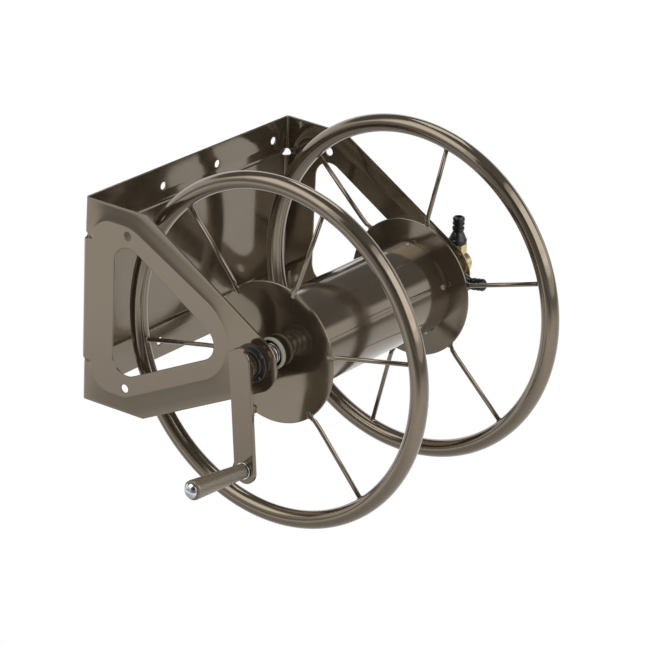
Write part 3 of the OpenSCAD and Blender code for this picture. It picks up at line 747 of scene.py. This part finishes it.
def build_bracket():
    """The folded sheet, with its edges rounded and its pressed panel's slope smooth."""
    press = points_of(rounded(*press_outline(), ARC_STEP))
    edges = [points_of(rounded(*sheet_outline(), ARC_STEP))] + sheet_holes()
    sheet, triangles = sheet_triangles(edges, press)

    # press depth and its slopes along u and v
    depth = press_depth(sheet, press)
    nudge = 0.05
    slopes = []
    for axis in np.eye(2):
        ahead = press_depth(sheet + nudge * axis, press)
        behind = press_depth(sheet - nudge * axis, press)
        slopes.append((ahead - behind) / (2 * nudge))

    # rounding towards the sheet's edges, with what is on an edge facing straight out
    gap, way = nearest(sheet, edges)
    on_edge = gap < 1e-3
    _, way_in = nearest(sheet, [inset_loop(e, 0.3, i > 0) for i, e in enumerate(edges)])
    way[on_edge] = -way_in[on_edge]
    near = np.clip(1 - gap / EDGE_R, 0, 1)
    drop = EDGE_R * (1 - np.sqrt(np.clip(1 - near * near, 0, 1)))

    count = len(sheet)
    verts, normals = [None] * (2 * count), [None] * (2 * count)
    up = np.array([0, 0, 1.0])
    for i, (u, v) in enumerate(sheet):
        point, normal, along = folded(u, v)
        face = unit(normal - slopes[0][i] * along - slopes[1][i] * up)
        edge = along * way[i][0] + up * way[i][1]
        lean = EDGE_LEAN * (math.asin(near[i]) * 2 / math.pi) ** 0.55
        verts[i] = point + normal * (depth[i] - drop[i])
        verts[count + i] = point + normal * (depth[i] - SHEET_T + drop[i])
        normals[i] = unit(face * math.cos(lean) + edge * math.sin(lean))
        normals[count + i] = unit(-face * math.cos(lean) + edge * math.sin(lean))

    faces, sides = [], set()
    for a, b, c in triangles.tolist():
        first, second = sheet[b] - sheet[a], sheet[c] - sheet[a]
        if first[0] * second[1] - first[1] * second[0] > 0:
            a, b = b, a
        faces += [[a, b, c], [count + c, count + b, count + a]]
        sides |= {(a, b), (b, c), (c, a)}
    faces += [[q, p, count + p, count + q] for p, q in sorted(sides) if (q, p) not in sides]
    place = Matrix.Translation((0, AXLE.y, AXLE.z))
    piece("bracket_sheet", verts, faces, normals, place, "bracket", "bronze_coat",
          ["back_plate", "crank_side_panel", "inlet_side_panel"])


# ---------------------------------------------------------------- the wheels
def build_rim(name, x, node):
    """Bent tube as a fine ring."""
    around, across = 240, 40
    verts, faces, normals = [], [], []
    for i in range(around):
        a = 2 * math.pi * i / around
        for k in range(across):
            b = 2 * math.pi * k / across
            out, up = math.cos(b), math.sin(b)
            r = RIM_R + TUBE_R * out
            verts.append((r * math.cos(a), r * math.sin(a), TUBE_R * up))
            normals.append((out * math.cos(a), out * math.sin(a), up))
            j, m = (i + 1) % around, (k + 1) % across
            faces.append([i * across + k, j * across + k, j * across + m, i * across + m])
    piece(name, verts, faces, normals, on_axle(x), "reel", "bronze_coat", [node])


def dish(radius):
    """How far the side disc stands out at a radius, and its slope there.

    It is sunk at the middle, curves up over a ring and runs straight to its edge.
    """
    ring_r, ring_w, steepest, sunk = 25, 40, 0.075, 2
    rise = min(max(radius - ring_r, 0), ring_w)
    straight = max(radius - ring_r - ring_w, 0)
    return steepest * (rise ** 2 / (2 * ring_w) + straight) - sunk, steepest * rise / ring_w


def build_disc(name, side, node):
    """Side disc, slightly dished, with a rolled edge."""
    half = DISC_T / 2
    flat_to = DRUM_R - 4
    radii = np.linspace(AXLE_R + 0.1, DISC_R - half, 24)
    faces = {}
    for way in (-1, 1):
        faces[way] = []
        for r in radii:
            height, run = dish(r)
            if way != side and r < flat_to:
                height, run = 0, 0
            n = unit(np.array([-side * run, 1.0])) * way
            faces[way].append((np.array([r, side * height + way * half]), n, n))
    height, run = dish(radii[-1])
    lean = math.atan(side * run)
    edge = []
    steps = 12
    for k in range(1, steps):
        a = math.pi * (k / steps - 0.5) + lean
        n = np.array([math.cos(a), math.sin(a)])
        edge.append((np.array([radii[-1], side * height]) + n * half, n, n))
    profile = faces[-1] + edge + faces[1][::-1]
    place = on_axle(side * RIM_GAP / 2)
    piece(name, *lathe(profile, steps=160), place, "reel", "bronze_coat", [node])


def spoke_mesh(side):
    """Round rod from the rim, its inner end flattened on the disc's outer face."""
    tab_from, tab_to, round_from = DISC_R - 9, DISC_R + 1, DISC_R + 7
    lifted_to, tab_lift = round_from + 12, 1.6
    end = RIM_R - TUBE_R + 1.2
    # distance from the axle, half width and half thickness
    stations = [
        (tab_from, 2.6, 0.65), (tab_from + 0.8, 3.2, 0.95), (tab_from + 2, 3.5, 1.0),
        (tab_to, 3.5, 1.0), (tab_to + 3.5, 3.4, 1.8), (round_from, SPOKE_R, SPOKE_R),
        (round_from + 6, SPOKE_R, SPOKE_R), (lifted_to, SPOKE_R, SPOKE_R),
        (round_from + 30, SPOKE_R, SPOKE_R), (end, SPOKE_R, SPOKE_R),
    ]
    rings = []
    steps = 24
    for r, wide, high in stations:
        over = tab_lift * min(1, max(0, (lifted_to - r) / (lifted_to - tab_to)))
        lift = side * (SPOKE_R - high + over)
        # squarer in section where it is thinner
        power = 0.55 + 0.45 * min(1, (high - 0.4) / (SPOKE_R - 0.4))
        ring = []
        for k in range(steps):
            a = 2 * math.pi * k / steps
            c, s = math.cos(a), math.sin(a)
            ring.append((
                r,
                wide * math.copysign(abs(c) ** power, c),
                lift + high * math.copysign(abs(s) ** power, s),
            ))
        rings.append(ring)
    return tube(rings)


def bead(centre, size, seed):
    """Small uneven weld bead, size being its half widths."""
    rand = random.Random(seed)
    phase = [rand.uniform(0, 6.28) for _ in range(2)]
    verts, faces = [], []
    rows, columns = 8, 14
    for i in range(rows + 1):
        b = math.pi * (i + 0.02) / (rows + 0.04)
        for k in range(columns):
            a = 2 * math.pi * k / columns
            wave = 1 + 0.10 * math.sin(3 * a + phase[0]) * math.sin(b)
            wave += 0.08 * math.sin(5 * a + 4 * b + phase[1])
            verts.append((
                centre[0] + size[0] * wave * math.sin(b) * math.cos(a),
                centre[1] + size[1] * wave * math.sin(b) * math.sin(a),
                centre[2] + size[2] * wave * math.cos(b),
            ))
    for i in range(rows):
        for k in range(columns):
            m = (k + 1) % columns
            faces.append([i * columns + k, (i + 1) * columns + k,
                          (i + 1) * columns + m, i * columns + m])
    faces.append(list(range(columns)))
    faces.append([rows * columns + k for k in range(columns)][::-1])
    return verts, faces


def build_spokes(wheel, side, turn):
    """The six rods of a wheel, and the weld beads at their ends."""
    place = on_axle(side * RIM_GAP / 2)
    verts, faces = spoke_mesh(side)
    bead_verts, bead_faces = [], []
    for i in range(SPOKES):
        local = Matrix.Rotation(math.radians(turn + 360 / SPOKES * i), 4, "Z")
        name = f"{wheel}_spoke_{i + 1}"
        piece(name + "_rod", verts, faces, None, place @ local, "reel", "bronze_coat",
              [name])
        # one bead round the outer end, and one on each edge of the tab
        spots = [((RIM_R - TUBE_R + 0.2, 0, 0), (1.9, 5.0, 4.6))]
        spots += [((DISC_R - 1.5, edge * 3.8, side * 3.7), (3.0, 2.2, 1.8))
                  for edge in (-1, 1)]
        for j, (centre, size) in enumerate(spots):
            v, f = bead(centre, size, 100 * i + j + 1000 * side)
            bead_faces += [[n + len(bead_verts) for n in face] for face in f]
            bead_verts += [local @ Vector(p) for p in v]
    piece(f"{wheel}_weld_beads", bead_verts, bead_faces, None, place, "reel",
          "bronze_coat")


def build_drum():
    """Rolled drum skin: welded seam along it and a faint groove near its far end."""
    half = RIM_GAP / 2 - DISC_T / 2 - 0.1
    seam = math.radians(-110) % (2 * math.pi)
    seam_d, seam_w = 0.3, 0.7
    groove_at, groove_d, groove_w = half - 4, 0.1, 0.5
    chamfer, skin_t = 0.3, 1.5
    around, along = 180, 60

    # even steps, with finer ones at the seam and the groove
    turns = sorted(
        [2 * math.pi * k / around for k in range(around)]
        + [(seam + s * 0.008 * k) % (2 * math.pi) for s in (-1, 1) for k in range(1, 9)]
    )
    places = sorted(
        [-half, -half + chamfer, half - chamfer, half]
        + [-half + 2 * half * k / along for k in range(1, along)]
        + [groove_at + 0.4 * k + 0.01 for k in range(-4, 5)]
    )
    verts, faces = [], []
    for z in places:
        end = chamfer if abs(abs(z) - half) < 1e-6 else 0
        for t in turns:
            off = (t - seam + math.pi) % (2 * math.pi) - math.pi
            r = DRUM_R - end - seam_d * math.exp(-((off * DRUM_R / seam_w) ** 2))
            r -= groove_d * math.exp(-(((z - groove_at) / groove_w) ** 2))
            verts.append((r * math.cos(t), r * math.sin(t), z))
    inner = DRUM_R - skin_t
    for z in (half, -half):
        verts += [(inner * math.cos(t), inner * math.sin(t), z) for t in turns]
    count = len(turns)
    rows = len(places) + 2
    for i in range(rows):
        j = (i + 1) % rows
        for k in range(count):
            m = (k + 1) % count
            faces.append([i * count + k, i * count + m, j * count + m, j * count + k])
    obj = piece("drum_skin", verts, faces, None, on_axle(), "reel", "bronze_coat",
                ["drum_shell"])
    obj.data.set_sharp_from_angle(angle=math.radians(50))


# ---------------------------------------------------------------- the crank
def build_crank():
    """Flat crank arm with its boss, the turned grip, its cap and its washer."""
    eye = ARM_W / 2
    first, last = -ARM_TAIL, CRANK_R + ARM_TIP
    outline = rounded(
        [(first, -eye), (last, -eye), (last, eye), (first, eye)], [eye - 0.01] * 4, 5
    )
    bar = plate(outline, ARM_T, 1.8)
    bore, boss_r, boss_end = AXLE_R + 0.1, 18, ARM_T + 11
    boss = lathe(rounded(
        [(bore, ARM_T - 0.5), (boss_r, ARM_T - 0.5), (boss_r, boss_end), (bore, boss_end)],
        [0, 0, 1, 0.4],
    ))
    weld_in, weld_top = boss_r - 0.6, ARM_T + 2.4
    weld = lathe(rounded(
        [(weld_in, ARM_T - 0.2), (boss_r + 2.3, ARM_T - 0.2), (boss_r + 0.2, weld_top),
         (weld_in, weld_top)],
        [0, 0.3, 0.3, 0],
    ))
    piece("crank_bar", *joined(bar, boss, weld), on_arm(), "reel", "bronze_coat",
          ["crank_arm"])

    thin, thick = 10.5, 14
    grip = lathe(rounded(
        [(GRIP_BORE_R, 0), (thin, 0), (thin, 3), (thick, GRIP_LEN - 6), (thick, GRIP_LEN),
         (GRIP_BORE_R, GRIP_LEN)],
        [0, 2.6, 4, 12, 3.4, 0], 10,
    ))
    place = on_grip() @ Matrix.Translation((0, 0, GRIP_Z * MM))
    piece("grip_sleeve", *grip, place, "grip", "bronze_coat", ["grip"], "satin_coat")

    bolt_r = 4.05
    cap_r, skirt, rise, steps = 10.5, 2, 5, 12
    dome = (cap_r ** 2 + rise ** 2) / (2 * rise)
    out, down = np.array([1.0, 0.0]), np.array([0.0, -1.0])
    profile = [
        (np.array([bolt_r, 0.0]), down, down), (np.array([cap_r - 0.3, 0.0]), down, down),
        (np.array([cap_r, 0.3]), out, out), (np.array([cap_r, skirt - 0.2]), out, out),
    ]
    for k in range(steps + 1):
        a = math.asin(cap_r / dome) * (1 - k / steps)
        n = np.array([math.sin(a), math.cos(a)])
        profile.append((np.array([dome * n[0], skirt + rise - dome + dome * n[1]]), n, n))
    place = on_grip() @ Matrix.Translation((0, 0, (GRIP_Z + GRIP_LEN + 0.3) * MM))
    piece("grip_dome", *lathe(profile, closed=False), place, "reel", "chrome_trim",
          ["grip_cap"])

    washer_r, low, high = 12, 1.3, 3.3
    washer = lathe(rounded(
        [(bolt_r, low), (washer_r, low), (washer_r, high), (bolt_r, high)],
        [0, 0.7, 0.7, 0],
    ))
    piece("grip_collar", *washer, on_grip(), "reel", "chrome_trim", ["grip_washer"])


# -------------------------------------------------- bearings and friction parts
def on_panel(side):
    """Frame of a side panel's inner face at the axle, its Z pointing out."""
    turn = Matrix(((0, 0, side), (side, 0, 0), (0, 1, 0))).to_4x4()
    return Matrix.Translation((side * (HALF_W - SHEET_T) * MM, AXLE.y, AXLE.z)) @ turn


def build_bearings():
    """The two flanged bushes."""
    bore = AXLE_R + 0.05
    profile = rounded(
        [(bore, -BUSH_IN), (BUSH_R, -BUSH_IN), (BUSH_R, SHEET_T), (FLANGE_R, SHEET_T),
         (FLANGE_R, FLANGE_OUT), (BUSH_R, FLANGE_OUT), (BUSH_R, BUSH_OUT), (bore, BUSH_OUT)],
        [0.3, 0.8, 0.2, 0.3, 1.2, 0.8, 0.8, 0.4],
    )
    for side, name in ((-1, "crank_side_bearing"), (1, "inlet_side_bearing")):
        piece(name + "_bush", *lathe(profile), on_panel(side), "bracket", "bearing_steel",
              [name])


def build_spring():
    """Round wire on the same line as the solid's spring, and the rings beside it."""
    start = REEL_OFF - HALF_W + SHEET_T + BUSH_IN + 0.1 + SEAT_T
    pad = -RIM_GAP / 2 - DISC_T / 2 - PAD_T
    thrust = pad - 0.2 - THRUST_T
    wire_r = WIRE_D / 2
    radius = AXLE_R + wire_r + 0.4
    top = thrust + THRUST_T - 1.5 - start - WIRE_D
    dead = WIRE_D + 0.6
    steps, across = 40, 16
    rings = []
    for i in range(WIRE_TURNS * steps + 1):
        # the end turns lie close, the ones between are spread evenly
        t = i / steps
        if t <= 1:
            rise = dead * t
        elif t >= WIRE_TURNS - 1:
            rise = top - dead * (WIRE_TURNS - t)
        else:
            rise = dead + (top - 2 * dead) * (t - 1) / (WIRE_TURNS - 2)
        a = 2 * math.pi * t
        ring = []
        for k in range(across):
            b = 2 * math.pi * k / across
            r = radius + wire_r * math.cos(b)
            z = wire_r + rise + wire_r * math.sin(b)
            ring.append((r * math.cos(a), r * math.sin(a), z))
        rings.append(ring)
    piece("spring_wire", *tube(rings), None, on_axle(start), "bracket", "spring_steel",
          ["tension_spring"])

    ring = rounded(
        [(18.9, THRUST_T), (18.9, 2.5), (19.6, 0), (22.8, 0), (22.8, THRUST_T)],
        [0.3, 0.6, 0.5, 1.6, 1.0],
    )
    piece("cream_thrust_ring", *lathe(ring), on_axle(thrust), "bracket", "cream_nylon",
          ["thrust_ring"])
    # the pad reaches through to the disc's sunk middle
    bore, pad_r, reach = AXLE_R + 0.3, 21, PAD_T + 3
    ring = rounded([(bore, 0), (pad_r, 0), (pad_r, reach), (bore, reach)],
                   [0.2, 0.6, 0.6, 0.2])
    piece("rubber_pad", *lathe(ring), on_axle(pad), "reel", "seal_rubber", ["friction_pad"])


# ---------------------------------------------------------------- studio
FLOOR_Z = -1.0


def direction(azimuth, elevation):
    """Unit vector, azimuth turning from the front (-Y) towards the inlet (+X)."""
    a, e = math.radians(azimuth), math.radians(elevation)
    return Vector((math.sin(a) * math.cos(e), -math.cos(a) * math.cos(e), math.sin(e)))


def patch(tree, place, azimuth, elevation, inner, outer, level):
    """Factor that falls to level in a round patch of the room, soft from inner to outer."""
    dot = tree.nodes.new("ShaderNodeVectorMath")
    dot.operation = "DOT_PRODUCT"
    dot.inputs[1].default_value = direction(azimuth, elevation)
    tree.links.new(place.outputs["Generated"], dot.inputs[0])
    return spread(tree, dot.outputs["Value"], 1, level,
                  math.cos(math.radians(outer)), math.cos(math.radians(inner)))


def studio():
    """White room under a dark ceiling, with three soft lamps and a pale floor below."""
    bpy.context.scene.view_settings.view_transform = "Standard"
    world = bpy.data.worlds.new("studio")
    bpy.context.scene.world = world
    world.use_nodes = True
    tree = world.node_tree
    tree.nodes.clear()
    place = tree.nodes.new("ShaderNodeTexCoord")
    split = tree.nodes.new("ShaderNodeSeparateXYZ")
    ramp = tree.nodes.new("ShaderNodeValToRGB")
    tree.links.new(place.outputs["Generated"], split.inputs["Vector"])
    tree.links.new(spread(tree, split.outputs["Z"], 0, 1, -1, 1), ramp.inputs["Fac"])
    # white walls up to 18 degrees, dark ceiling from 24
    for stop, position, grey in zip(ramp.color_ramp.elements, (0.655, 0.70), (0.95, 0.14)):
        stop.position = position
        stop.color = (grey, grey, grey, 1)

    # the dark side where the camera stands, and a greyer wall to the left
    level = maths(tree, "MULTIPLY", patch(tree, place, -64, 8, 18, 48, 0.15),
                  patch(tree, place, -125, 0, 8, 26, 0.4))
    room = tree.nodes.new("ShaderNodeBackground")
    tree.links.new(ramp.outputs["Color"], room.inputs["Color"])
    tree.links.new(level, room.inputs["Strength"])

    white = tree.nodes.new("ShaderNodeBackground")
    white.inputs["Color"].default_value = (1, 1, 1, 1)
    seen = tree.nodes.new("ShaderNodeLightPath")
    choice = tree.nodes.new("ShaderNodeMixShader")
    out = tree.nodes.new("ShaderNodeOutputWorld")
    tree.links.new(seen.outputs["Is Camera Ray"], choice.inputs["Fac"])
    tree.links.new(room.outputs["Background"], choice.inputs[1])
    tree.links.new(white.outputs["Background"], choice.inputs[2])
    tree.links.new(choice.outputs["Shader"], out.inputs["Surface"])

    lamp("front", 1, 36, 3.4, [(4.9, 3.4, 0.85), (4.4, 2.6, 0.75), (3.8, 1.5, 0.65)])
    lamp("left", -125, 43, 3.4, [(3.0, 2.8, 1.0), (2.2, 1.8, 1.0)])
    lamp("right", 118, 65, 1.15, [(0.56, 0.5, 2.0)])
    floor()


def lamp(name, azimuth, elevation, far, faces):
    """Soft box aimed at the axle from far metres off.

    Its faces are (width, height, brightness), each one behind the last and smaller.
    """
    way = direction(azimuth, elevation)
    for i, (width, height, brightness) in enumerate(faces):
        data = bpy.data.lights.new(f"{name}_{i + 1}", "AREA")
        data.shape = "RECTANGLE"
        data.size, data.size_y = width, height
        data.energy = brightness * math.pi * width * height
        obj = bpy.data.objects.new(data.name, data)
        obj.location = AXLE + way * (far + 0.01 * i)
        obj.rotation_mode = "QUATERNION"
        obj.rotation_quaternion = way.to_track_quat("Z", "Y")
        bpy.context.scene.collection.objects.link(obj)


def fade(tree, place, centre, near, far, low, high):
    """Goes from low to high with the distance on the floor from a spot."""
    gap = tree.nodes.new("ShaderNodeVectorMath")
    gap.operation = "DISTANCE"
    gap.inputs[1].default_value = (*centre, FLOOR_Z)
    tree.links.new(place.outputs["Object"], gap.inputs[0])
    out = spread(tree, gap.outputs["Value"], low, high, near, far)
    out.node.interpolation_type = "SMOOTHSTEP"
    return out


def maths(tree, operation, first, second):
    """The result of an operation on two values."""
    node = tree.nodes.new("ShaderNodeMath")
    node.operation = operation
    tree.links.new(first, node.inputs[0])
    tree.links.new(second, node.inputs[1])
    return node.outputs["Value"]


def floor():
    """Pale floor that takes the shadow, white to the camera, and glowing unevenly to gloss
    rays, with a painted shadow of the reel in that glow.
    """
    size = 30
    mesh = bpy.data.meshes.new("floor")
    corners = [(-size, -size, FLOOR_Z), (size, -size, FLOOR_Z), (size, size, FLOOR_Z),
               (-size, size, FLOOR_Z)]
    mesh.from_pydata(corners, [], [(0, 1, 2, 3)])
    obj = bpy.data.objects.new("floor", mesh)
    bpy.context.scene.collection.objects.link(obj)
    mat, tree, shader = material("floor")
    shader.inputs["Base Color"].default_value = (0.86, 0.86, 0.86, 1)
    shader.inputs["Roughness"].default_value = 0.9
    seen = tree.nodes.new("ShaderNodeLightPath")
    glow = tree.nodes.new("ShaderNodeEmission")
    choice = tree.nodes.new("ShaderNodeMixShader")

    # in gloss rays its glow is dimmer far off; it is dimmer by the near panel, where the
    # dimming is a painted shadow of the reel; and it is dimmer far out on the left towards
    # the camera, and out on the right
    place = tree.nodes.new("ShaderNodeTexCoord")
    level = fade(tree, place, (0, 0), 2.4, 9.5, 1.0, 0.3)
    for centre, near, far, low in (
        ((-0.7, 0.3), 0.2, 2.0, 0.5),
        ((-5.8, -2.8), 2.0, 4.6, 0.25),
        ((6, 0), 4.5, 8.0, 0.8),
    ):
        dim = fade(tree, place, centre, near, far, low, 1.0)
        level = maths(tree, "MULTIPLY", level, dim)
    camera_ray, glossy_ray = seen.outputs["Is Camera Ray"], seen.outputs["Is Glossy Ray"]
    tree.links.new(maths(tree, "MAXIMUM", camera_ray, level), glow.inputs["Strength"])
    tree.links.new(maths(tree, "MAXIMUM", camera_ray, glossy_ray), choice.inputs["Fac"])
    tree.links.new(shader.outputs["BSDF"], choice.inputs[1])
    tree.links.new(glow.outputs["Emission"], choice.inputs[2])
    tree.links.new(choice.outputs["Shader"], tree.nodes["Material Output"].inputs["Surface"])
    mesh.materials.append(mat)


def camera():
    """The photograph's camera, as fitted: from the crank side, a little above."""
    azimuth = math.radians(-53.666)
    elevation = math.radians(23.14)
    roll = math.radians(2.497)
    distance, aside, above = 4.8700, -0.029234, -0.005375
    back = Vector((
        math.sin(azimuth) * math.cos(elevation),
        -math.cos(azimuth) * math.cos(elevation),
        math.sin(elevation),
    ))
    level_right = Vector((math.cos(azimuth), math.sin(azimuth), 0))
    level_up = back.cross(level_right)
    right = level_right * math.cos(roll) + level_up * math.sin(roll)
    up = level_up * math.cos(roll) - level_right * math.sin(roll)
    data = bpy.data.cameras.new("camera")
    data.sensor_width = 36
    data.lens = 195.7
    data.clip_end = 100
    cam = bpy.data.objects.new("camera", data)
    spot = Vector((REEL_X, AXLE.y, AXLE.z)) + back * distance + right * aside + up * above
    turn = Matrix((right, up, back)).transposed().to_4x4()
    cam.matrix_world = Matrix.Translation(spot) @ turn
    bpy.context.scene.collection.objects.link(cam)
    bpy.context.scene.camera = cam


# ---------------------------------------------------------------- the scene
camera()
studio()
dress_nodes()
build_bracket()
build_rim("crank_side_tube", -RIM_GAP / 2, "crank_side_rim")
build_rim("inlet_side_tube", RIM_GAP / 2, "inlet_side_rim")
build_disc("crank_side_plate", -1, "crank_side_disc")
build_disc("inlet_side_plate", 1, "inlet_side_disc")
build_spokes("crank", -1, 18)
build_spokes("inlet", 1, 13)
build_drum()
build_crank()
build_bearings()
build_spring()
